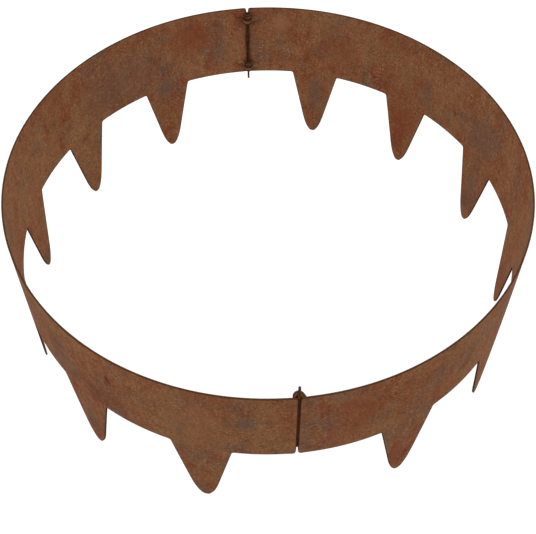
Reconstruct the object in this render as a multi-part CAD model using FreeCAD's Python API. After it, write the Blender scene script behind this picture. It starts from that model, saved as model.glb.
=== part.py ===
import FreeCAD, Part
import math
import os
from FreeCAD import Vector

# Garden edging ring of weathering steel, in millimetres, +Z up.
# Two rolled half panels with spikes along the lower edge are joined at two seams, one at the
# back (+Y) and one at the front (-Y). Each panel end carries two strap eyes on its inner face.
# The eyes of the two halves lie in pairs, one above the other, and a wire pin drops through them.
# The origin is at the middle of the ring, level with the spikes' tips.

# Panel: a flat strip rolled to a radius, with ends left straight under the eyes' feet
PANEL_LENGTH = 1000.0
SHEET = 2.0
ROLL_RADIUS = 318.0
FLAT_BEYOND_FOOT = 2.0
BAND_HEIGHT = 120.0
END_CORNER_RADIUS = 3.0
SEAM_GAP = 2.0

# Spikes: tapering, with a round tip and a small fillet where they leave the band
SPIKE_COUNT = 6
SPIKE_PITCH = 153.0
FIRST_SPIKE_FROM_END = 104.0
SPIKE_LENGTH = 122.0
SPIKE_BASE = 70.0
SPIKE_TIP_RADIUS = 11.5
SPIKE_FILLET = 3.0

# Pins: straight wire with broken ends, pushed down to different depths
PIN_DIAMETER = 3.0
PIN_LENGTH = 126.0
PIN_CHAMFER = 0.4
PIN_CLEARANCE = 0.5
BACK_PIN_ABOVE_RIM = -5.5
FRONT_PIN_ABOVE_RIM = 16.0

# Eyes: a strap welded flat to the panel, raised on a leg and curled round the pin in a wide loop
LOOP_RADIUS = 4.3
STRAP = 2.0
EYE_HEIGHT = 8.5
EYE_SPACE = 0.5
FOOT_FROM_END = 16.0
FOOT_BEND_RADIUS = 2.0
LEG_ANGLE = math.radians(65.0)
CURL_END = math.radians(210.0)
UPPER_EYES_BELOW_RIM = 5.0
LOWER_EYES_ABOVE_EDGE = 8.0

# Two lengths closer than this are the same
TOLERANCE = 1e-4

# Levels and radii that follow from the sizes above
BAND_BOTTOM = SPIKE_LENGTH
RIM = SPIKE_LENGTH + BAND_HEIGHT
OUTER_RADIUS = ROLL_RADIUS + SHEET / 2
INNER_RADIUS = ROLL_RADIUS - SHEET / 2
FLAT_END = FOOT_FROM_END + FLAT_BEYOND_FOOT
HALF_TURN = (PANEL_LENGTH - 2 * FLAT_END) / (2 * ROLL_RADIUS)
EYE_STEP = EYE_HEIGHT + EYE_SPACE
UPPER_PAIR = RIM - UPPER_EYES_BELOW_RIM - EYE_HEIGHT - EYE_STEP
LOWER_PAIR = BAND_BOTTOM + LOWER_EYES_ABOVE_EDGE

# The right panel's back end: along the strip away from the seam, and inwards
ALONG = Vector(math.sin(HALF_TURN), -math.cos(HALF_TURN), 0)
INWARD = Vector(-math.cos(HALF_TURN), -math.sin(HALF_TURN), 0)

# The roll's centre lies on the X axis, where the inner end corners leave the seam gap open
ROLL_CENTRE_X = SEAM_GAP / 2 + FLAT_END * ALONG.x + INNER_RADIUS * INWARD.x
ROLL_CENTRE = Vector(ROLL_CENTRE_X, 0, 0)
END_CORNER = ROLL_CENTRE - INWARD * INNER_RADIUS - ALONG * FLAT_END


def seam_along(offset):
    """Where the seam is, as a distance along the strip from its end corner, at a depth inwards."""
    return -(END_CORNER.x + INWARD.x * offset) / ALONG.x


# The pin stands on the seam just inside the sheet, and the loop's circle starts at the sheet
PIN_OFFSET = PIN_DIAMETER / 2 + PIN_CLEARANCE
PIN_Y = (END_CORNER + ALONG * seam_along(PIN_OFFSET) + INWARD * PIN_OFFSET).y
LOOP_ALONG = seam_along(LOOP_RADIUS)


def on_circle(centre, radius, angle):
    """Point on a level circle."""
    return centre + Vector(radius * math.cos(angle), radius * math.sin(angle), 0)


def line(start, end):
    return Part.LineSegment(start, end).toShape()


def arc(start, middle, end):
    return Part.Arc(start, middle, end).toShape()


def prism(edges, sweep):
    """Solid swept straight from a closed chain of edges."""
    return Part.Face(Part.Wire(edges)).extrude(sweep)


def rolled_strip(bottom, top):
    """The right half's sheet between two levels: an arc with a straight end on each side."""
    centre = ROLL_CENTRE + Vector(0, 0, bottom)
    front_along = Vector(ALONG.x, -ALONG.y, 0)

    def bend_and_end(radius, angle, along):
        bend = on_circle(centre, radius, angle)
        return bend, bend - along * FLAT_END

    outer_back, outer_back_end = bend_and_end(OUTER_RADIUS, HALF_TURN, ALONG)
    inner_back, inner_back_end = bend_and_end(INNER_RADIUS, HALF_TURN, ALONG)
    outer_front, outer_front_end = bend_and_end(OUTER_RADIUS, -HALF_TURN, front_along)
    inner_front, inner_front_end = bend_and_end(INNER_RADIUS, -HALF_TURN, front_along)
    edges = [
        line(outer_front_end, outer_front),
        arc(outer_front, on_circle(centre, OUTER_RADIUS, 0), outer_back),
        line(outer_back, outer_back_end),
        line(outer_back_end, inner_back_end),
        line(inner_back_end, inner_back),
        arc(inner_back, on_circle(centre, INNER_RADIUS, 0), inner_front),
        line(inner_front, inner_front_end),
        line(inner_front_end, outer_front_end),
    ]
    return prism(edges, Vector(0, 0, top - bottom))


def band():
    """The sheet above the spikes, with its end corners rounded."""
    strip = rolled_strip(BAND_BOTTOM, RIM)
    end_edges = []
    for edge in strip.Edges:
        first, last = edge.Vertexes[0], edge.Vertexes[-1]
        level = abs(first.Z - last.Z) < TOLERANCE
        if level and abs(edge.Length - SHEET) < TOLERANCE:
            end_edges.append(edge)
    return strip.makeFillet(END_CORNER_RADIUS, end_edges)


def spike_outline():
    """One spike seen from outside, in the XZ plane, with a lap that reaches into the band."""
    half_base = SPIKE_BASE / 2
    rise = BAND_BOTTOM - SPIKE_TIP_RADIUS
    reach = math.hypot(half_base, rise)
    # Each side runs from the base corner and is tangent to the tip's circle
    lean = math.atan2(half_base, rise) - math.asin(SPIKE_TIP_RADIUS / reach)
    tip_x = SPIKE_TIP_RADIUS * math.cos(lean)
    tip_z = SPIKE_TIP_RADIUS * (1 - math.sin(lean))
    # The fillet touches the band's edge and the side equally far from their corner
    set_off = SPIKE_FILLET / math.tan((math.pi / 2 + lean) / 2)
    edge_x = half_base + set_off
    side_x = half_base - set_off * math.sin(lean)
    side_z = BAND_BOTTOM - set_off * math.cos(lean)
    fillet_turn = (3 * math.pi / 2 - lean) / 2
    fillet_x = edge_x + SPIKE_FILLET * math.cos(fillet_turn)
    fillet_z = BAND_BOTTOM - SPIKE_FILLET + SPIKE_FILLET * math.sin(fillet_turn)
    lap_z = BAND_BOTTOM + SPIKE_FILLET

    def at(x, z):
        return Vector(x, 0, z)

    return [
        arc(at(edge_x, BAND_BOTTOM), at(fillet_x, fillet_z), at(side_x, side_z)),
        line(at(side_x, side_z), at(tip_x, tip_z)),
        arc(at(tip_x, tip_z), at(0, 0), at(-tip_x, tip_z)),
        line(at(-tip_x, tip_z), at(-side_x, side_z)),
        arc(at(-side_x, side_z), at(-fillet_x, fillet_z), at(-edge_x, BAND_BOTTOM)),
        line(at(-edge_x, BAND_BOTTOM), at(-edge_x, lap_z)),
        line(at(-edge_x, lap_z), at(edge_x, lap_z)),
        line(at(edge_x, lap_z), at(edge_x, BAND_BOTTOM)),
    ]


def spikes():
    """Each spike is the sheet below the band, cut to the outline and counted from the back end."""
    strip = rolled_strip(0, BAND_BOTTOM + SPIKE_FILLET)
    depth = SPIKE_BASE
    punch = prism(spike_outline(), Vector(0, depth, 0))
    punch.translate(Vector(0, ROLL_RADIUS - depth / 2, 0))
    cut = []
    for number in range(SPIKE_COUNT):
        along = PANEL_LENGTH / 2 - FIRST_SPIKE_FROM_END - number * SPIKE_PITCH
        turned = punch.copy()
        turned.rotate(Vector(0, 0, 0), Vector(0, 0, 1), math.degrees(along / ROLL_RADIUS) - 90)
        turned.translate(ROLL_CENTRE)
        cut.append(strip.common(turned))
    return cut


def half_panel():
    """The right half: band and spikes are one sheet."""
    return band().multiFuse(spikes()).removeSplitter()


def strap_eye(bottom):
    """Eye on the right panel's back end: foot along the sheet, leg, and a loop round the pin."""
    curl = LOOP_RADIUS + STRAP
    middle = Vector(LOOP_ALONG, LOOP_RADIUS, 0)
    # Across the leg, away from the pin: the curl starts at this angle
    curl_start = math.pi / 2 - LEG_ANGLE
    across = Vector(math.cos(curl_start), math.sin(curl_start), 0)
    # The foot's bend has its centre where both sides of the leg run into it
    bend_outside = FOOT_BEND_RADIUS + STRAP
    bend_rise = (bend_outside - LOOP_RADIUS) * across.y
    bend_along = LOOP_ALONG + (bend_outside + LOOP_RADIUS - bend_rise) / across.x
    bend = Vector(bend_along, bend_outside, 0)
    bend_middle = -math.pi / 2 - LEG_ANGLE / 2
    curl_middle = (curl_start + CURL_END) / 2

    def place(point):
        """From distances along the sheet and inwards to the ring's own frame."""
        return END_CORNER + ALONG * point.x + INWARD * point.y + Vector(0, 0, bottom)

    sheet_side = [
        Vector(FOOT_FROM_END, 0, 0),
        Vector(bend_along, 0, 0),
        on_circle(bend, bend_outside, bend_middle),
        bend - across * bend_outside,
        on_circle(middle, LOOP_RADIUS, curl_start),
        on_circle(middle, LOOP_RADIUS, curl_middle),
        on_circle(middle, LOOP_RADIUS, CURL_END),
    ]
    far_side = [
        on_circle(middle, curl, CURL_END),
        on_circle(middle, curl, curl_middle),
        on_circle(middle, curl, curl_start),
        bend - across * FOOT_BEND_RADIUS,
        on_circle(bend, FOOT_BEND_RADIUS, bend_middle),
        Vector(bend_along, STRAP, 0),
        Vector(FOOT_FROM_END, STRAP, 0),
    ]
    near = [place(point) for point in sheet_side]
    far = [place(point) for point in far_side]
    edges = [
        line(near[0], near[1]),
        arc(near[1], near[2], near[3]),
        line(near[3], near[4]),
        arc(near[4], near[5], near[6]),
        line(near[6], far[0]),
        arc(far[0], far[1], far[2]),
        line(far[2], far[3]),
        arc(far[3], far[4], far[5]),
        line(far[5], far[6]),
        line(far[6], near[0]),
    ]
    return prism(edges, Vector(0, 0, EYE_HEIGHT))


def pin(y, above_rim):
    """Wire pin with both ends broken, reaching above the rim by a set height."""
    radius = PIN_DIAMETER / 2
    wire = Part.makeCylinder(radius, PIN_LENGTH, Vector(0, y, RIM + above_rim - PIN_LENGTH))
    ends = [edge for edge in wire.Edges if edge.isClosed()]
    return wire.makeChamfer(PIN_CHAMFER, ends)


def front_end(shape):
    """The same piece at the right panel's other end: mirrored from back to front."""
    return shape.mirror(Vector(0, 0, 0), Vector(0, 1, 0))


def left_half(shape):
    """The same piece on the left half: half a turn about the ring's axis."""
    turned = shape.copy()
    turned.rotate(Vector(0, 0, 0), Vector(0, 0, 1), 180)
    return turned


os.makedirs("parts", exist_ok=True)

pieces = {}
pieces["right_half_panel"] = half_panel()
for level, pair in (("upper", UPPER_PAIR), ("lower", LOWER_PAIR)):
    # The right half has the lower eye of each pair at the back and the upper one at the front
    pieces[f"right_back_{level}_eye"] = strap_eye(pair)
    pieces[f"right_front_{level}_eye"] = front_end(strap_eye(pair + EYE_STEP))

# The left half is the same part turned round, so its back end comes from the right half's front
for name in list(pieces):
    swapped = name.replace("right_", "left_")
    if "_back_" in name:
        swapped = swapped.replace("_back_", "_front_")
    else:
        swapped = swapped.replace("_front_", "_back_")
    pieces[swapped] = left_half(pieces[name])

pieces["back_pin"] = pin(PIN_Y, BACK_PIN_ABOVE_RIM)
pieces["front_pin"] = pin(-PIN_Y, FRONT_PIN_ABOVE_RIM)

for name, shape in pieces.items():
    solid = shape.Solids[0]
    box = solid.BoundBox
    print(f"{name}: {len(shape.Solids)} solid, valid {solid.isValid()}, {solid.Volume:.0f} mm3, "
          f"x {box.XMin:.1f} to {box.XMax:.1f}, y {box.YMin:.1f} to {box.YMax:.1f}, "
          f"z {box.ZMin:.1f} to {box.ZMax:.1f}")
    solid.exportStep(f"parts/{name}.step")
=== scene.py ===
# %% [markdown]
# A garden edging ring is a low wall of weathering steel, set in the ground round a tree or a flower bed.
# Two equal half panels, each with a row of spikes, meet at two seams. At each seam a wire pin runs
# down through strap eyes on the inner faces.
# The CAD model is loaded first as a fixed frame. Everything below is in metres and in that same frame:
# the origin is at the ring's centre, level with the spike tips, and +Z is up.

import math

import bpy
import numpy as np
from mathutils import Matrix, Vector


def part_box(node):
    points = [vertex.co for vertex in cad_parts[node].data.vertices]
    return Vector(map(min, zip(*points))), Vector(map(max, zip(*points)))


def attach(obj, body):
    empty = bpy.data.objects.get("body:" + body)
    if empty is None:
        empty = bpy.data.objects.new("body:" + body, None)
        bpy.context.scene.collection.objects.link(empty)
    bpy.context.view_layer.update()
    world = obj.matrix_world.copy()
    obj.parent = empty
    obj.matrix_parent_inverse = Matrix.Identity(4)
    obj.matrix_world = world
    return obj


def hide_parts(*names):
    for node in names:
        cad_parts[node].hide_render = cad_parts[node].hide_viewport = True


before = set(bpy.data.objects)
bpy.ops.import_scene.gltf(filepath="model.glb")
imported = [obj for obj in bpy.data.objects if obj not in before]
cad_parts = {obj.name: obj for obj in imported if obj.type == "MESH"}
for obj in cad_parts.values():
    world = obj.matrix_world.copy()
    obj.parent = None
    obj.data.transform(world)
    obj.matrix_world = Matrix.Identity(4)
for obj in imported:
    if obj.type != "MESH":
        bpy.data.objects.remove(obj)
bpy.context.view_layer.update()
print("nodes:", len(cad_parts))

# %% [markdown]
# The sizes of the sheet are those of the CAD source. A panel starts as a flat strip, one metre long and
# two millimetres thick. Measuring along that strip, from its middle, makes every later step easier:
# the spikes, the streaks of rust and the dark cut edges all follow the strip and not the ring.

# %% Sizes of the half panels
LENGTH = 1.000
SHEET = 0.002
ROLL = 0.318
FLAT_END = 0.018
SEAM_GAP = 0.002
BAND_BOTTOM = 0.122
RIM = 0.242

half_turn = (LENGTH - 2 * FLAT_END) / (2 * ROLL)
inner_radius = ROLL - SHEET / 2
roll_centre = SEAM_GAP / 2 + FLAT_END * math.sin(half_turn) - inner_radius * math.cos(half_turn)
print("each half turns", round(math.degrees(2 * half_turn), 2), "degrees")


# %% [markdown]
# A real panel is cut flat and then passed through bending rolls, which leave a short straight piece at
# each end. The function below does the same to points: it takes the distance along the strip and the
# distance outwards from the sheet's middle, and gives the place in plan. A Curve modifier could bend a
# flat mesh too, but a formula lets the ends and the seams fall exactly where the CAD has them.

# %% The rolled path
def roll(along, out):
    """Plan position on the right half. Within the bend the point is on a circle, and its angle is the
    distance along divided by the roll radius. Past the bend it carries straight on along the tangent."""
    bend = ROLL * half_turn
    turn = np.clip(along, -bend, bend) / ROLL
    beyond = along - np.clip(along, -bend, bend)
    radius = ROLL + out
    x = roll_centre + radius * np.cos(turn) - beyond * np.sin(turn)
    y = radius * np.sin(turn) + beyond * np.cos(turn)
    return x, y


end_x, end_y = roll(LENGTH / 2, 0.0)
print("the strip's back end is at x", round(end_x * 1000, 2), "and y", round(end_y * 1000, 2), "mm")

# %% [markdown]
# Each half has six spikes, cut in one piece with the band, which are pushed into the soil. They could be
# drawn corner by corner, but a few sizes describe them all. The sides lean so that they would touch a
# circle at the tip, as in the CAD source. Further down a shoulder leans in more, to a narrower nose.

# %% Sizes of the spikes
SPIKE_COUNT = 6
SPIKE_PITCH = 0.153
FIRST_SPIKE = 0.104
SPIKE_BASE = 0.070
SPIKE_TIP = 0.0115
SPIKE_FILLET = 0.003
NOSE = 0.0065
SHOULDER_LEAN = math.radians(30.0)
SHOULDER_EASE = 0.014

spike_middles = LENGTH / 2 - FIRST_SPIKE - SPIKE_PITCH * np.arange(SPIKE_COUNT)
tip_angle = math.atan2(SPIKE_BASE / 2, BAND_BOTTOM - SPIKE_TIP)
tip_reach = math.hypot(SPIKE_BASE / 2, BAND_BOTTOM - SPIKE_TIP)
lean = tip_angle - math.asin(SPIKE_TIP / tip_reach)
print(SPIKE_COUNT, "spikes on each half, with sides that lean", round(math.degrees(lean), 2), "degrees")

# %% [markdown]
# The lower edge of the strip is one continuous cut: straight under the band, a small fillet, the side of
# a spike, a shoulder, a round nose, and back. Written as a height for each distance along the strip it
# needs no Boolean cutting, and the same formula serves both faces of the sheet. The corners of the strip
# are eased by quarter ellipses, so that two panels leave a small V between them at each end of a seam.

# %% The cut outline
END_CORNER_WIDE = 0.0022
END_CORNER_HIGH = 0.008


def corner_cut(along):
    """How far the cut is drawn in near an end of the strip, along a quarter ellipse."""
    from_end = np.clip((LENGTH / 2 - np.abs(along)) / END_CORNER_WIDE, 0, 1)
    return END_CORNER_HIGH * (1 - np.sqrt(1 - (1 - from_end) ** 2))


def lower_edge(along):
    """Height of the lower cut. A spike's side and its shoulder are two lines, and the cut follows the
    higher one, with an eased corner where they cross. The nose is an arc that the shoulder touches, and
    a fillet eases the side into the band's level edge."""
    away = np.abs(along[:, None] - spike_middles).min(axis=1)
    nose = NOSE - np.sqrt(np.maximum(NOSE**2 - away**2, 0))
    nose_end = NOSE * math.cos(SHOULDER_LEAN)
    shoulder = NOSE * (1 - math.sin(SHOULDER_LEAN)) + (away - nose_end) / math.tan(SHOULDER_LEAN)
    side = BAND_BOTTOM - (SPIKE_BASE / 2 - away) / math.tan(lean)
    share = np.clip(0.5 + (side - shoulder) / (2 * SHOULDER_EASE), 0, 1)
    flank = shoulder + (side - shoulder) * share + SHOULDER_EASE * share * (1 - share)
    set_off = SPIKE_FILLET / math.tan((math.pi / 2 + lean) / 2)
    fillet_middle = SPIKE_BASE / 2 + set_off
    drop = np.sqrt(np.maximum(SPIKE_FILLET**2 - (away - fillet_middle) ** 2, 0))
    fillet = BAND_BOTTOM - SPIKE_FILLET + drop
    fillet_start = SPIKE_BASE / 2 - set_off * math.sin(lean)
    edge = np.where(away < nose_end, nose, flank)
    edge = np.where(away > fillet_start, fillet, edge)
    edge = np.where(away > fillet_middle, BAND_BOTTOM, edge)
    return edge + corner_cut(along)


def upper_edge(along):
    """Height of the rim: level, apart from the corners at the ends of the strip."""
    return RIM - corner_cut(along)


tips = lower_edge(spike_middles)
print("the tips are at", np.round(tips * 1000, 2).tolist(), "mm")


# %% [markdown]
# Columns of the grid have to be close together where the outline runs steeply down a spike. So the
# outline is first walked in very small steps, its length is added up, and the columns are placed at
# equal lengths along it. The noses and shoulders count three times, so that they come out round.

# %% Columns along the strip
def walked_along(x, y, weight=1.0):
    """Distance walked along a line to each of its points. A step counts as its length times a weight."""
    steps = np.hypot(np.diff(x), np.diff(y)) * weight
    return np.concatenate([[0], np.cumsum(steps)])


COLUMNS = 1100
FINE_POINTS = 40001
NOSE_HEIGHT = 0.020
NOSE_WEIGHT = 3.0

fine = np.linspace(-LENGTH / 2, LENGTH / 2, FINE_POINTS)
fine_edge = lower_edge(fine)
walked = walked_along(fine, fine_edge, np.where(fine_edge[1:] < NOSE_HEIGHT, NOSE_WEIGHT, 1.0))
columns = np.interp(np.linspace(0, walked[-1], COLUMNS), walked, fine)
print("weighted length of the outline", round(walked[-1], 3), "m in", COLUMNS, "columns")

# %% [markdown]
# Each piece becomes a mesh through one helper. It takes whole arrays of points and faces, a map that
# says where each point lies on the flat steel before it was bent, and marks, such as the distance of
# each point from a cut edge. The rust needs the map and the marks to follow the metal. A mirrored shape
# would come out with its faces turned inwards, so the helper measures the volume and turns the faces
# over if needed.

# %% A mesh from arrays
SHARP_ANGLE = math.radians(50)


def enclosed(points, faces):
    """Volume inside four-cornered faces: each is two triangles, and each triangle with the origin makes a
    tetrahedron, whose volume is a sixth of a triple product and counts as negative when it faces in."""
    a, b, c, d = (points[faces[:, corner]] for corner in range(4))
    first = np.einsum("ij,ij->i", a, np.cross(b, c))
    second = np.einsum("ij,ij->i", a, np.cross(c, d))
    return (first + second).sum() / 6


def new_piece(name, points, faces, flat, **marks):
    """A mesh object at the origin. points is one row of three numbers a point, faces one row of four
    point numbers a face. flat is kept as a UV map, and each mark as an attribute of the points."""
    volume = enclosed(points, faces)
    if volume < 0:
        faces = faces[:, ::-1]
    mesh = bpy.data.meshes.new(name)
    mesh.from_pydata(points.tolist(), [], faces.tolist())
    layer = mesh.uv_layers.new(name="flat")
    corner_points = np.empty(len(mesh.loops), dtype=np.int32)
    mesh.loops.foreach_get("vertex_index", corner_points)
    layer.data.foreach_set("uv", flat[corner_points].astype(np.float32).ravel())
    for mark, values in marks.items():
        attribute = mesh.attributes.new(mark, "FLOAT", "POINT")
        attribute.data.foreach_set("value", values.astype(np.float32).ravel())
    mesh.polygons.foreach_set("use_smooth", np.ones(len(mesh.polygons), dtype=bool))
    mesh.set_sharp_from_angle(angle=SHARP_ANGLE)
    mesh.update()
    piece = bpy.data.objects.new(name, mesh)
    bpy.context.scene.collection.objects.link(piece)
    print(name, len(points), "points", len(faces), "faces", round(abs(volume) * 1e9), "mm3")
    return piece


# %% [markdown]
# All the pieces here are bars or sheets, long in one direction and with a closed section across it. On a
# grid of steps along and points round, that is a tube. Its two open ends are filled with faces as well,
# because an open mesh has no inside.

# %% Faces of a closed tube
def tube(steps, rows):
    """Faces of a grid that is closed round its rows, with both of its open ends filled in. An end is
    filled by joining each point of the first half of the ring to its opposite in the second half."""
    number = np.arange(steps * rows).reshape(steps, rows)
    onward = np.roll(number, -1, axis=1)
    wall = np.stack([number[:-1], number[1:], onward[1:], onward[:-1]], axis=-1).reshape(-1, 4)
    one = number[:, : rows // 2]
    other = number[:, rows // 2:][:, ::-1]
    ends = np.stack([one[:, :-1], one[:, 1:], other[:, 1:], other[:, :-1]], axis=-1)
    return np.concatenate([wall, ends[0], ends[-1][:, ::-1]])


print("a tube of 2 steps and 4 rows is a box of", len(tube(2, 4)), "faces")

# %% [markdown]
# A half panel is a tube of sheet: up the outer face, over the rim, down the inner face and across the
# lower cut, at every column. The two ends are closed with a row of faces each. The four long edges are
# broken by a third of a millimetre, as a file or a wire brush leaves them, so that they catch light.

# %% The half panels
BROKEN_EDGE = 0.0003
FACE_ROWS = 19
MOST_STEEP = 5
LEFT_FLAT = 5.0
INNER_FLAT = 2.0
HALF_WAY_ROUND = np.array([-1, -1, 1])


def round_sheet(thick, face_rows):
    """Distance from the sheet's middle at each row round it: one face, the top edge, the other face and
    the lower edge. The two rows of an edge are drawn in by the broken edge."""
    face = thick / 2
    edge = face - BROKEN_EDGE
    return np.repeat([face, edge, -edge, -face, -edge, edge], [face_rows, 1, 1, face_rows, 1, 1])


def half_panel(name, turned):
    """A grid of columns along the strip and rows round the sheet. Rows on a face run from the lower cut
    to the rim and crowd towards both, by a cosine. turned puts the half on the ring's left side. In the
    flat map the left half and the inner faces start further along, so that no two faces look alike. The
    distance from the lower cut is the height above it divided by its steepness, which is the length of
    the cut for each length along the strip."""
    rows = 0.5 - 0.5 * np.cos(np.linspace(0, math.pi, FACE_ROWS))
    low = lower_edge(columns)[:, None]
    high = upper_edge(columns)[:, None]
    steepness = np.sqrt(1 + np.gradient(low[:, 0], columns)[:, None] ** 2)
    face_low = np.minimum(low + BROKEN_EDGE * np.minimum(steepness, MOST_STEEP), (low + high) / 2)
    face = face_low + (high - BROKEN_EDGE - face_low) * rows
    both = np.ones((1, 2))
    height = np.concatenate([face, high * both, face[:, ::-1], low * both], axis=1)
    out = np.tile(round_sheet(SHEET, FACE_ROWS), (COLUMNS, 1))
    along = np.tile(columns[:, None], (1, out.shape[1]))
    x, y = roll(along, out)
    points = np.stack([x, y, height], axis=-1)
    if turned:
        points = points * HALF_WAY_ROUND
    start = np.where(out < 0, INNER_FLAT, 0.0) + (LEFT_FLAT if turned else 0.0)
    flat = np.stack([along + LENGTH / 2 + start, height], axis=-1)
    to_cut = np.minimum((height - low) / steepness, high - height)
    from_edge = np.minimum(to_cut, LENGTH / 2 - np.abs(along))
    faces = tube(*out.shape)
    return new_piece(name, points.reshape(-1, 3), faces, flat.reshape(-1, 2), from_edge=from_edge)


right_panel = half_panel("right_panel_sheet", False)
left_panel = half_panel("left_panel_sheet", True)
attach(right_panel, "right_half")
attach(left_panel, "left_half")
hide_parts("right_half_panel")
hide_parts("left_half_panel")

# %% [markdown]
# An eye is a short piece of strap: its foot lies flat on the panel, a leg rises from it and the rest is
# curled into a wide loop round the pin. In plan that is a line, an arc, a line and a longer arc. The
# strap's section, a narrow rectangle with broken corners, is carried along this path.

# %% The path of a strap eye
STRAP = 0.002
LOOP = 0.0043
FOOT_FROM_END = 0.016
FOOT_BEND = 0.002
LEG_ANGLE = math.radians(65.0)
CURL_END = math.radians(210.0)
FOOT_STEPS = 9
BEND_STEPS = 12
CURL_STEPS = 40

end_along = np.array([math.sin(half_turn), -math.cos(half_turn)])
end_inward = np.array([-math.cos(half_turn), -math.sin(half_turn)])
inner_corner = np.array([roll_centre, 0.0]) - end_inward * inner_radius - end_along * FLAT_END
loop_along = -(inner_corner[0] + end_inward[0] * LOOP) / end_along[0]
print("loop's middle is", round(loop_along * 1000, 2), "mm along from the end corner")


def strap_path():
    """Points along the middle of the strap, as distances along the panel and inwards, and at each the
    direction across the strap, away from the sheet or the pin. The foot is a line, and the bend and the
    curl are arcs about two middles. The leg touches both arcs, so its slope and their radii give the
    distance between the middles. It needs no points of its own."""
    curl_start = math.pi / 2 - LEG_ANGLE
    across = np.array([math.cos(curl_start), math.sin(curl_start)])
    bend_out = FOOT_BEND + STRAP
    bend_along = loop_along + (bend_out + LOOP - (bend_out - LOOP) * across[1]) / across[0]
    bend_middle = np.array([bend_along, bend_out])
    loop_middle = np.array([loop_along, LOOP])
    foot = np.linspace([FOOT_FROM_END, STRAP / 2], [bend_along, STRAP / 2], FOOT_STEPS)[:-1]
    foot_across = np.tile([0.0, 1.0], (len(foot), 1))
    bend_angle = np.linspace(-math.pi / 2, -math.pi / 2 - LEG_ANGLE, BEND_STEPS)
    bend_across = -np.stack([np.cos(bend_angle), np.sin(bend_angle)], axis=-1)
    bend = bend_middle - bend_across * (FOOT_BEND + STRAP / 2)
    curl_angle = np.linspace(curl_start, CURL_END, CURL_STEPS)
    curl_across = np.stack([np.cos(curl_angle), np.sin(curl_angle)], axis=-1)
    curl = loop_middle + curl_across * (LOOP + STRAP / 2)
    return np.concatenate([foot, bend, curl]), np.concatenate([foot_across, bend_across, curl_across])


strap_middle, strap_across = strap_path()
strap_walked = walked_along(*strap_middle.T)
print("a strap is", round(strap_walked[-1] * 1000, 1), "mm long before it is bent")

# %% [markdown]
# The same eye is used eight times. At the other end of a panel it is mirrored, and on the left half
# everything is turned half way round, as the left half is the same part turned round. The foot has rusted
# together with the panel, so its flat map continues the panel's own and the rust runs on across it. The
# right half's loops are painted paler, most of all inside, as painted light; the left half's get little.

# %% The strap eyes
EYE_HEIGHT = 0.0085
EDGE_ROW = 0.0015
PIN_SIDE_FLAT = 0.1
LOOP_START = 0.010
LOOP_BLEND = 0.004
FOOT_SKIN = 0.0008

# How much painted light a loop gets, and how much of its distance from an edge counts, inside and outside;
# less widens the painted shade along its edges.
RIGHT_PAINTED_LIGHT = (1.0, 0.3)
LEFT_PAINTED_LIGHT = (0.3, 0.0)
RIGHT_OUTLINE_SHADE = (0.6, 0.3)
LEFT_OUTLINE_SHADE = (0.35, 0.2)


def strap_eye(name, bottom, first_end, left):
    """A grid of steps along the strap's path and rows round its section, as round a sheet. A point is the
    path's own point moved aside, across the strap, and counted from the panel's end corner along the
    sheet and inwards. first_end is the end of the panel where its flat map begins. The marks fade in
    from the foot to the loop, and the cut end of the strap counts as an edge."""
    near_edge = np.array([BROKEN_EDGE, EDGE_ROW])
    up = np.concatenate([near_edge, [EYE_HEIGHT / 2], EYE_HEIGHT - near_edge[::-1]])
    rise = np.concatenate([up, [EYE_HEIGHT, EYE_HEIGHT], up[::-1], [0, 0]])
    aside = round_sheet(STRAP, len(up))
    plan = strap_middle[:, None, :] + strap_across[:, None, :] * aside[None, :, None]
    place = inner_corner + plan[..., :1] * end_along + plan[..., 1:] * end_inward
    turned = -1 if left else 1
    sides = np.array([turned, -turned if first_end else turned])
    height = np.tile(bottom + rise, (len(strap_middle), 1))
    points = np.concatenate([place * sides, height[..., None]], axis=-1)
    from_end = (FOOT_FROM_END - strap_walked)[:, None]
    start = np.where(aside < 0, PIN_SIDE_FLAT, 0.0) + INNER_FLAT + (LEFT_FLAT if left else 0.0)
    flat = np.stack([start + (from_end if first_end else LENGTH - from_end), height], axis=-1)
    on_loop = np.clip((strap_walked - LOOP_START) / LOOP_BLEND, 0, 1)[:, None]
    # Paler paint on the loops, most of all inside, is painted light.
    rubbed = on_loop * np.where(aside < 0, *(LEFT_PAINTED_LIGHT if left else RIGHT_PAINTED_LIGHT))
    # The dark edge of a loop is widened from the cut's oxide into painted shade along its edges.
    outline_shade = np.where(aside < 0, *(LEFT_OUTLINE_SHADE if left else RIGHT_OUTLINE_SHADE))
    from_edge = np.minimum(rise, EYE_HEIGHT - rise) * outline_shade + (1 - on_loop) * FOOT_SKIN
    from_edge = np.minimum(from_edge, (strap_walked[-1] - strap_walked)[:, None])
    faces = tube(*height.shape)
    return new_piece(name, points.reshape(-1, 3), faces, flat.reshape(-1, 2),
                     from_edge=from_edge, rubbed=rubbed)


eyes = []
for node_name in sorted(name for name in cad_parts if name.endswith("_eye")):
    half_name, end_name = node_name.split("_")[:2]
    left = half_name == "left"
    first_end = (end_name == "front") != left
    eye = strap_eye(node_name + "_strap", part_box(node_name)[0].z, first_end, left)
    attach(eye, half_name + "_half")
    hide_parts(node_name)
    eyes.append(eye)

# %% [markdown]
# The pins are plain wire, cut to length. Their ends are broken with a file, and a trace of the shears is
# left on the cut, so an end is slightly domed. A profile turned about the pin's own axis gives this.

# %% The wire pins
PIN_SIDES = 24
PIN_ROWS = 40
PIN_END = 0.006
PIN_END_ROWS = np.array([0.0, 0.0001, 0.0004, 0.001, 0.003])
PIN_END_INSETS = np.array([0.0007, 0.0004, 0.0, 0.0, 0.0])
BACK_PIN_FLAT = 20.0
FRONT_PIN_FLAT = 21.0


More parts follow.
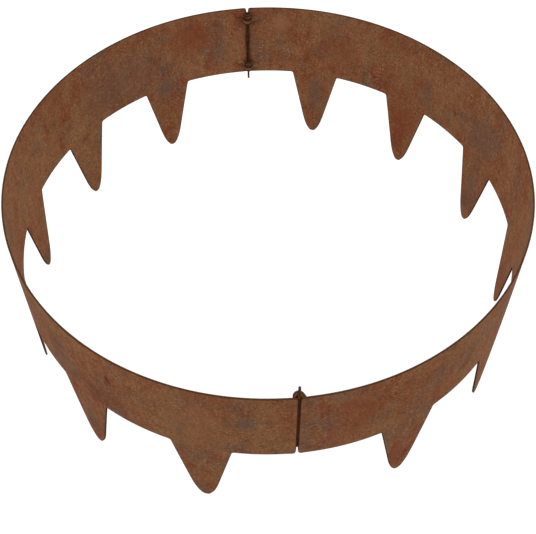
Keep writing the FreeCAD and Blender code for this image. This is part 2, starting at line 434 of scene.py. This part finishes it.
def wire_pin(name, node_name, flat_start):
    """A turned profile: the radius grows from a small flat at each end, over the broken edge, to the
    wire's own radius. The end flats are filled from side to side."""
    low, high = (np.array(corner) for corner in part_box(node_name))
    middle = (low + high) / 2
    radius = (high[0] - low[0]) / 2
    length = high[2] - low[2]
    straight = np.linspace(PIN_END, length - PIN_END, PIN_ROWS)
    up = np.concatenate([PIN_END_ROWS, straight, length - PIN_END_ROWS[::-1]])
    end_radius = radius - PIN_END_INSETS
    reach = np.concatenate([end_radius, np.full(PIN_ROWS, radius), end_radius[::-1]])
    turn = np.linspace(0, 2 * math.pi, PIN_SIDES, endpoint=False)
    x = middle[0] + reach[:, None] * np.cos(turn)
    y = middle[1] + reach[:, None] * np.sin(turn)
    height = np.tile(low[2] + up[:, None], (1, PIN_SIDES))
    points = np.stack([x, y, height], axis=-1)
    flat = np.stack([np.tile(turn * radius, (len(up), 1)) + flat_start, height], axis=-1)
    faces = tube(*height.shape)
    return new_piece(name, points.reshape(-1, 3), faces, flat.reshape(-1, 2))


back_pin = wire_pin("back_pin_wire", "back_pin", BACK_PIN_FLAT)
front_pin = wire_pin("front_pin_wire", "front_pin", FRONT_PIN_FLAT)
for pin, node_name in ((back_pin, "back_pin"), (front_pin, "front_pin")):
    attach(pin, node_name)
    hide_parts(node_name)


# %% [markdown]
# Materials in Blender are small networks of nodes. They can be drawn by hand in the shader editor, but a
# script keeps every number in one place. To keep it readable, a socket is wrapped in a class on which
# plus, minus and times can be used, and each sign adds one Math node.

# %% Shader arithmetic
class Signal:
    """A socket of a network. Arithmetic on it adds Math nodes to that network."""

    def __init__(self, network, socket):
        self.network = network
        self.socket = socket

    def __getitem__(self, output):
        """Another output of the node that this signal comes from."""
        return Signal(self.network, self.socket.node.outputs[output])

    def math(self, operation, first, second):
        """One Math node with two inputs."""
        return self.network.node("ShaderNodeMath", {"operation": operation}, {0: first, 1: second})

    def __add__(self, other):
        return self.math("ADD", self, other)

    def __sub__(self, other):
        return self.math("SUBTRACT", self, other)

    def __rsub__(self, other):
        return self.math("SUBTRACT", other, self)

    def __mul__(self, other):
        return self.math("MULTIPLY", self, other)

    __radd__ = __add__
    __rmul__ = __mul__


# %% [markdown]
# All other nodes are made by a single method, which sets the node's options first and then its inputs.
# The nodes that every finish needs have short names of their own: a blend of two colours, a smooth step
# and a coat, which is a tint laid over a colour where a noise is strong or weak. The world has a network
# too, so the same class serves for the light. Colours are written as they look on a screen.

# %% A network of nodes
class Network:
    """The nodes of a material or of the world."""

    def __init__(self, holder):
        self.holder = holder
        holder.use_nodes = True
        self.tree = holder.node_tree
        self.tree.nodes.clear()

    def node(self, kind, settings=None, inputs=None):
        """Adds a node, sets its options, then its inputs, and gives its first output as a Signal."""
        made = self.tree.nodes.new(kind)
        for key, setting in (settings or {}).items():
            setattr(made, key, setting)
        for key, given in (inputs or {}).items():
            if isinstance(given, Signal):
                self.tree.links.new(given.socket, made.inputs[key])
            else:
                made.inputs[key].default_value = given
        return Signal(self, made.outputs[0]) if len(made.outputs) else made

    def vector(self, operation, *given):
        """One Vector Math node with the inputs given."""
        return self.node("ShaderNodeVectorMath", {"operation": operation}, dict(enumerate(given)))

    def blend(self, factor, first, second):
        """Goes from one colour to another as factor goes from 0 to 1."""
        settings = {"data_type": "RGBA", "clamp_factor": True}
        return self.node("ShaderNodeMix", settings, {0: factor, 6: first, 7: second})[2]

    def step(self, value, start, full):
        """A smooth change from 0 where value is at start to 1 where it is at full. Either may be larger."""
        settings = {"interpolation_type": "SMOOTHSTEP", "clamp": True}
        return self.node("ShaderNodeMapRange", settings, {0: value, 1: start, 2: full})

    def coat(self, under, tint, noise, start, full, strength):
        """Lays a tint over the colour under it, from where the noise is at start to where it is at full."""
        return self.blend(self.step(noise, start, full) * strength, under, tint)


def paint(red, green, blue):
    """A colour as it is seen on a screen, from 0 to 255, turned into the linear numbers a shader uses, by
    the standard curve: a short straight piece near black and a power of 2.4 above it."""
    seen = np.array([red, green, blue]) / 255
    linear = np.where(seen <= 0.04045, seen / 12.92, ((seen + 0.055) / 1.055) ** 2.4)
    return (*linear.tolist(), 1.0)


print("a middle grey of 128 is", round(paint(128, 128, 128)[0], 3), "to a shader")

# %% [markdown]
# Weathering steel rusts to a tight brown skin and then stops. Its colour is never even: some areas turn
# slate grey or red, rain draws faint upright streaks, and the whole skin is a grain of tan and dark
# specks about a millimetre wide. A painted picture would repeat or blur, so each of these is a coat of
# noise over a middle brown. The noise reads the flat steel's own coordinates, so that streaks run
# straight up the sheet all the way round, and the two faces of the sheet differ.

# %% The rust's own layers
BROWN = paint(120, 73, 46)
PALE_BROWN = paint(126, 86, 57)
SLATE = paint(86, 76, 67)
RED = paint(116, 53, 32)
TAN = paint(136, 95, 66)
DARK = paint(80, 43, 29)
SPECK = paint(164, 119, 84)
PIT = paint(58, 32, 20)
FEWEST_SPECKS = 0.4
MORE_SPECKS = 0.6
LAYER_STEP = 7.3


def cloud(network, place, cells, layer, detail, rough):
    """Noise with a given number of cells in each metre along each axis. layer picks another noise."""
    scaled = network.vector("MULTIPLY_ADD", place, (*cells, 0.0), (0.0, 0.0, layer * LAYER_STEP))
    inputs = {"Vector": scaled, "Scale": 1.0, "Detail": detail, "Roughness": rough}
    return network.node("ShaderNodeTexNoise", {"noise_dimensions": "3D"}, inputs)


def rust_layers(rust, flat):
    """Colour and grain of the skin. Broad clouds choose between brown, slate and red, and a smaller one
    mottles it. A cloud stretched upright gives the streaks, and a fine one the specks and pits."""
    tone = cloud(rust, flat, cells=(17.0, 12.0), layer=1, detail=5.0, rough=0.6)
    colour = rust.blend(rust.step(tone, start=0.36, full=0.64), BROWN, PALE_BROWN)
    slate = cloud(rust, flat, cells=(23.0, 17.0), layer=2, detail=6.0, rough=0.66)
    colour = rust.coat(colour, SLATE, slate, start=0.47, full=0.76, strength=0.85)
    red = cloud(rust, flat, cells=(26.0, 14.0), layer=3, detail=6.0, rough=0.66)
    colour = rust.coat(colour, RED, red, start=0.5, full=0.74, strength=0.85)
    mottle = cloud(rust, flat, cells=(95.0, 70.0), layer=8, detail=5.0, rough=0.6)
    colour = rust.coat(colour, TAN, mottle, start=0.5, full=0.72, strength=0.45)
    colour = rust.coat(colour, RED, mottle, start=0.47, full=0.26, strength=0.55)
    streak = cloud(rust, flat, cells=(230.0, 12.0), layer=4, detail=4.0, rough=0.55)
    colour = rust.coat(colour, TAN, streak, start=0.52, full=0.74, strength=0.22)
    colour = rust.coat(colour, DARK, streak, start=0.46, full=0.26, strength=0.22)
    patch = cloud(rust, flat, cells=(52.0, 40.0), layer=6, detail=4.0, rough=0.6)
    colour = rust.coat(colour, DARK, patch, start=0.44, full=0.24, strength=0.5)
    grain = cloud(rust, flat, cells=(440.0, 390.0), layer=5, detail=4.0, rough=0.75)
    crowd = FEWEST_SPECKS + rust.step(patch, start=0.36, full=0.66) * MORE_SPECKS
    colour = rust.coat(colour, SPECK, grain, start=0.52, full=0.68, strength=crowd)
    colour = rust.coat(colour, PIT, grain, start=0.47, full=0.3, strength=0.95)
    return colour, grain


# %% [markdown]
# Noise alone never looks quite like a given sheet, so a few large stains are listed. Each is an oval
# with a ragged border, given by its face, its distance from a seam and its height. Two narrow dark ones run
# up the back seam as painted shade of the gap between the panels.

# %% Stains, listed one by one
# Dark brown of a cut edge's oxide, also used as painted shade in the seams.
CUT_AND_SHADE_BROWN = paint(46, 27, 14)
RIGHT = True
LEFT = False


def from_front(right, distance):
    """Flat coordinate of a point on a panel's outer face, by its distance from the front seam."""
    return distance if right else LEFT_FLAT + LENGTH - distance


def from_back(right, distance):
    """Flat coordinate of a point on a panel's inner face, by its distance from the back seam."""
    return INNER_FLAT + LENGTH - distance if right else LEFT_FLAT + INNER_FLAT + distance


# Each row: place along the flat sheet, height, half width, half height, colour, strength.
STAINS = [
    (from_front(RIGHT, 0.066), 0.182, 0.026, 0.050, RED, 0.45),
    (from_front(RIGHT, 0.050), 0.214, 0.010, 0.012, RED, 0.6),
    (from_front(RIGHT, 0.100), 0.092, 0.009, 0.042, SLATE, 0.5),
    (from_front(RIGHT, 0.120), 0.060, 0.010, 0.040, RED, 0.4),
    (from_front(RIGHT, 0.205), 0.166, 0.014, 0.012, DARK, 0.5),
    (from_front(RIGHT, 0.300), 0.190, 0.050, 0.034, SLATE, 0.3),
    (from_front(LEFT, 0.110), 0.178, 0.045, 0.062, TAN, 0.3),
    (from_front(LEFT, 0.054), 0.188, 0.012, 0.018, SLATE, 0.5),
    (from_front(LEFT, 0.209), 0.196, 0.004, 0.010, DARK, 0.9),
    (from_front(LEFT, 0.225), 0.146, 0.050, 0.022, DARK, 0.3),
    (from_front(LEFT, 0.290), 0.168, 0.030, 0.045, SLATE, 0.4),
    (from_front(LEFT, 0.257), 0.050, 0.010, 0.036, SLATE, 0.4),
    (from_back(LEFT, 0.085), 0.202, 0.040, 0.034, RED, 0.5),
    (from_back(LEFT, 0.215), 0.168, 0.080, 0.050, SLATE, 0.35),
    (from_back(LEFT, 0.134), 0.122, 0.016, 0.024, SLATE, 0.55),
    (from_back(LEFT, 0.042), 0.166, 0.014, 0.026, SLATE, 0.45),
    (from_back(LEFT, 0.252), 0.085, 0.016, 0.055, SLATE, 0.35),
    (from_back(RIGHT, 0.014), 0.222, 0.008, 0.012, SLATE, 0.5),
    (from_back(RIGHT, 0.052), 0.214, 0.018, 0.016, TAN, 0.6),
    (from_back(RIGHT, 0.106), 0.078, 0.013, 0.048, SLATE, 0.5),
    (from_back(RIGHT, 0.140), 0.180, 0.032, 0.050, RED, 0.35),
    (from_back(RIGHT, 0.250), 0.070, 0.026, 0.060, RED, 0.45),
    (from_back(RIGHT, 0.290), 0.166, 0.009, 0.028, SLATE, 0.5),
    (from_back(RIGHT, 0.405), 0.165, 0.045, 0.045, SLATE, 0.4),
    (from_back(RIGHT, 0.410), 0.065, 0.018, 0.055, SLATE, 0.4),
    # These two narrow dark bands are painted shade of the back seam's gap.
    (from_back(RIGHT, 0.000), 0.182, 0.0034, 0.075, CUT_AND_SHADE_BROWN, 0.6),
    (from_back(LEFT, 0.000), 0.182, 0.0034, 0.075, CUT_AND_SHADE_BROWN, 0.6),
]
print(len(STAINS), "stains")


# %% [markdown]
# A stain with a clean border would look like a sticker. So it fades out with the distance from its
# middle, and a noise is added to that distance, which makes the fading border wander.

# %% The shape of a stain
RAGGEDNESS = 1.6
STAIN_BORDER = 2.1
STAIN_WHOLE = 0.9


def stain(rust, flat, ragged, middle, half):
    """1 in the middle of an oval and 0 outside it. The distance from the middle, counted in half
    widths, is shaken by noise. The noise is about a half on average, which the border allows for."""
    aside = rust.vector("SUBTRACT", flat, (*middle, 0.0))
    counted = rust.vector("MULTIPLY", aside, (1 / half[0], 1 / half[1], 0.0))
    distance = rust.vector("LENGTH", counted)["Value"]
    return rust.step(distance + ragged * RAGGEDNESS, STAIN_BORDER, STAIN_WHOLE)


print("on average a stain ends at", round(STAIN_BORDER - RAGGEDNESS / 2, 2), "half widths")


# %% [markdown]
# Rust and mill scale are both matte and pitted: they reflect little, and the light breaks on a fine bump.
# So both finishes end in the same few nodes, and only colour, roughness, noise and depth differ.

# %% A matte skin
SHINE = 0.06
BUMP_STRENGTH = 0.3


def matte_skin(network, colour, roughness, pits, depth):
    """Ends a network in a matte surface whose bump follows the noise of its pits. Gives the material."""
    relief = {"Strength": BUMP_STRENGTH, "Distance": depth, "Height": pits}
    bump = network.node("ShaderNodeBump", {}, relief)
    shader = network.node("ShaderNodeBsdfPrincipled", {}, {
        "Base Color": colour,
        "Roughness": roughness,
        "Metallic": 0.0,
        "Specular IOR Level": SHINE,
        "Normal": bump,
    })
    network.node("ShaderNodeOutputMaterial", {}, {"Surface": shader})
    print(network.holder.name, "has", len(network.tree.nodes), "nodes")
    return network.holder


# %% [markdown]
# The layers, the stains and the cut edges come together in one material for sheet and strap. Freshly cut
# steel turned nearly black along its edges, so the colour goes dark in the last millimetre before a cut; in
# the seams and, widened, along the strap loops this darkening is painted shade. Inside the loops a paler
# brown is painted light.

# %% The rusty steel
# A paler brown painted inside the loops as painted light.
PAINTED_LIGHT_BROWN = paint(172, 112, 86)
PAINTED_LIGHT_STRENGTH = 0.45
# Darkening within these distances of a cut: oxide of the cut, and painted shade at the seams and loops.
CUT_AND_SHADE_FULL = 0.0003
CUT_AND_SHADE_CLEAR = 0.0013
CUT_AND_SHADE_STRENGTH = 0.9
RUST_ROUGHNESS = 0.82
GRAIN_ROUGHNESS = 0.14
RUST_DEPTH = 0.0004


def rusty_steel(name):
    """Skin colour, paler inside the loops as painted light, then the stains, then the cut edges, which are
    darker the nearer a point lies to one, as oxide and as painted shade."""
    rust = Network(bpy.data.materials.new(name))
    flat = rust.node("ShaderNodeUVMap", {"uv_map": "flat"})
    colour, grain = rust_layers(rust, flat)
    rubbed = rust.node("ShaderNodeAttribute", {"attribute_name": "rubbed"})["Fac"]
    colour = rust.blend(rubbed * PAINTED_LIGHT_STRENGTH, colour, PAINTED_LIGHT_BROWN)
    ragged = cloud(rust, flat, cells=(60.0, 45.0), layer=9, detail=6.0, rough=0.68)
    for along, height, half_wide, half_high, tint, strength in STAINS:
        mark = stain(rust, flat, ragged, (along, height), (half_wide, half_high))
        colour = rust.blend(mark * strength, colour, tint)
    # Near a cut the colour goes dark, as oxide and as painted shade.
    from_edge = rust.node("ShaderNodeAttribute", {"attribute_name": "from_edge"})["Fac"]
    clear = rust.step(from_edge, CUT_AND_SHADE_FULL, CUT_AND_SHADE_CLEAR)
    colour = rust.blend((1 - clear) * CUT_AND_SHADE_STRENGTH, colour, CUT_AND_SHADE_BROWN)
    roughness = RUST_ROUGHNESS + grain * GRAIN_ROUGHNESS
    return matte_skin(rust, colour, roughness, grain, RUST_DEPTH)


rusted = rusty_steel("rusty_steel")
for piece in [right_panel, left_panel, *eyes]:
    piece.data.materials.append(rusted)


# %% [markdown]
# Drawn wire keeps a dark grey mill scale for years. Between the panels, where water stays, it has rusted
# brown; there the front pin's brown is painted lighter, as painted light in the panels' shade, and the back
# pin's darker, as painted shade of its seam. So the colour changes with the height along the wire, and
# noise that is longer along the wire than round it mixes two shades of each.

# %% The dark wire
SCALE = paint(45, 31, 21)
PALE_SCALE = paint(71, 54, 41)
RIM_FADE = (RIM - 0.004, RIM + 0.004)
SOIL_FADE = (BAND_BOTTOM - 0.002, BAND_BOTTOM + 0.006)
SCALE_ROUGHNESS = 0.7
FLAKE_ROUGHNESS = 0.2
SCALE_DEPTH = 0.0002


def dark_wire(name, band_dark, band_pale):
    """Two given shades at the height of the band, rust with painted light or shade, and two of grey scale
    beyond it, mixed by noise.
    """
    wire = Network(bpy.data.materials.new(name))
    flat = wire.node("ShaderNodeUVMap", {"uv_map": "flat"})
    height = wire.node("ShaderNodeSeparateXYZ", {}, {0: flat})["Y"]
    above_rim = wire.step(height, *RIM_FADE)
    above_soil = wire.step(height, *SOIL_FADE)
    flake = cloud(wire, flat, cells=(420.0, 130.0), layer=7, detail=4.0, rough=0.6)
    shade = wire.step(flake, start=0.4, full=0.66)
    scale = wire.blend(shade, SCALE, PALE_SCALE)
    rust = wire.blend(shade, band_dark, band_pale)
    colour = wire.blend((1 - above_rim) * above_soil, scale, rust)
    roughness = SCALE_ROUGHNESS + flake * FLAKE_ROUGHNESS
    return matte_skin(wire, colour, roughness, flake, SCALE_DEPTH)


# The front pin's rust is lifted as painted light, the back pin's darkened as painted shade.
back_pin.data.materials.append(dark_wire("back_wire_painted_shade", paint(46, 22, 5), paint(78, 43, 13)))
front_pin.data.materials.append(dark_wire("front_wire_painted_light", paint(92, 50, 12), paint(130, 75, 22)))

# %% [markdown]
# The ring stands on a plain floor. Walls that face the middle of the ring get about as much light as
# those that face out, because the floor inside is lit through the open top. A white floor would throw
# too much light up at them, so to light it is a middle grey. The camera sees it white, apart from a
# fifth that takes the ring's soft shadow.

# %% The floor
WHITE = (1.0, 1.0, 1.0, 1.0)
FLOOR_SIZE = 40.0
LIT_GREY = paint(145, 145, 145)
SEEN_GREY = paint(245, 245, 245)
PLAIN_SHARE = 0.8


def seen_directly(network):
    """1 for what the camera sees itself or in a mirror or glass, 0 for light that falls on things."""
    rays = network.node("ShaderNodeLightPath")
    return rays["Is Camera Ray"] + rays["Is Glossy Ray"] + rays["Is Transmission Ray"]


bpy.ops.mesh.primitive_plane_add(size=FLOOR_SIZE, location=(0.0, 0.0, 0.0))
floor = bpy.context.object
floor.name = "studio_floor"
ground = Network(bpy.data.materials.new("floor_white"))
matte = ground.node("ShaderNodeBsdfDiffuse", {}, {"Color": LIT_GREY})
shadowed = ground.node("ShaderNodeBsdfDiffuse", {}, {"Color": SEEN_GREY})
plain = ground.node("ShaderNodeEmission", {}, {"Color": WHITE, "Strength": 1.0})
pale = ground.node("ShaderNodeMixShader", {}, {0: PLAIN_SHARE, 1: shadowed, 2: plain})
both = ground.node("ShaderNodeMixShader", {}, {0: seen_directly(ground), 1: matte, 2: pale})
ground.node("ShaderNodeOutputMaterial", {}, {"Surface": both})
floor.data.materials.append(ground.holder)
print("floor,", FLOOR_SIZE, "m square")

# %% [markdown]
# Small products are often photographed in a tent of white cloth, whose light comes mostly from above. The
# world stands for that tent: it is bright overhead and dim at the horizon. To the camera it is plain
# white, as the photograph's background is.

# %% The studio tent
HORIZON = 0.08
OVERHEAD = 1.58
BRIGHTENS_FROM = 0.15
BRIGHTEST_AT = 0.75

tent = Network(bpy.data.worlds.new("studio_tent"))
bpy.context.scene.world = tent.holder
direction = tent.node("ShaderNodeTexCoord")["Generated"]
height = tent.node("ShaderNodeSeparateXYZ", {}, {0: direction})["Z"]
strength = HORIZON + (OVERHEAD - HORIZON) * tent.step(height, BRIGHTENS_FROM, BRIGHTEST_AT)
light = tent.node("ShaderNodeBackground", {}, {"Color": WHITE, "Strength": strength})
plain = tent.node("ShaderNodeBackground", {}, {"Color": WHITE, "Strength": 1.0})
both = tent.node("ShaderNodeMixShader", {}, {0: seen_directly(tent), 1: light, 2: plain})
tent.node("ShaderNodeOutputWorld", {}, {"Surface": both})
print("tent light from", HORIZON, "at the horizon to", OVERHEAD, "overhead")

# %% [markdown]
# Four soft boxes, large lamps behind cloth, stand round the ring and look at its middle. The two in front
# light the outer face of the band. The two behind are weaker, and serve views from the back.

# %% The soft boxes
LAMP_SIZE = 1.6
LAMP_HEIGHT = 2.4

# Each row: place in plan and power in watts.
LAMPS = [(-1.8, -1.0, 39.0), (1.8, -1.0, 39.0), (-1.2, 1.8, 20.0), (1.2, 1.8, 20.0)]
for x, y, power in LAMPS:
    lamp_data = bpy.data.lights.new("soft_box", "AREA")
    lamp_data.size = LAMP_SIZE
    lamp_data.energy = power
    lamp = bpy.data.objects.new("soft_box", lamp_data)
    bpy.context.scene.collection.objects.link(lamp)
    lamp.location = (x, y, LAMP_HEIGHT)
    lamp.rotation_euler = (-lamp.location).to_track_quat("-Z", "Y").to_euler()
print(len(LAMPS), "soft boxes")

# %% [markdown]
# The camera looks down into the ring from the front, a little left of its middle. Its frame is moved
# down by a shift, as a view camera does by lowering its lens, because the photograph's own frame lies
# below the middle of what its lens saw.

# %% Camera
PIXELS = 536
FOCAL_PIXELS = 870.8
SHIFT_PIXELS = 85.0
SENSOR = 36.0
CAMERA_PLACE = (-0.0718, -0.7330, 1.0148)
CAMERA_FORWARD = Vector((0.0657, 0.6716, -0.7380))

camera_data = bpy.data.cameras.new("photo_camera")
camera_data.sensor_width = SENSOR
camera_data.lens = FOCAL_PIXELS / PIXELS * SENSOR
camera_data.shift_y = -SHIFT_PIXELS / PIXELS
camera = bpy.data.objects.new("photo_camera", camera_data)
bpy.context.scene.collection.objects.link(camera)
camera.location = CAMERA_PLACE
camera.rotation_euler = CAMERA_FORWARD.to_track_quat("-Z", "Y").to_euler()
bpy.context.scene.camera = camera
bpy.context.scene.view_settings.view_transform = "Standard"
print("lens", round(camera_data.lens, 2), "mm, shift", round(camera_data.shift_y, 4))
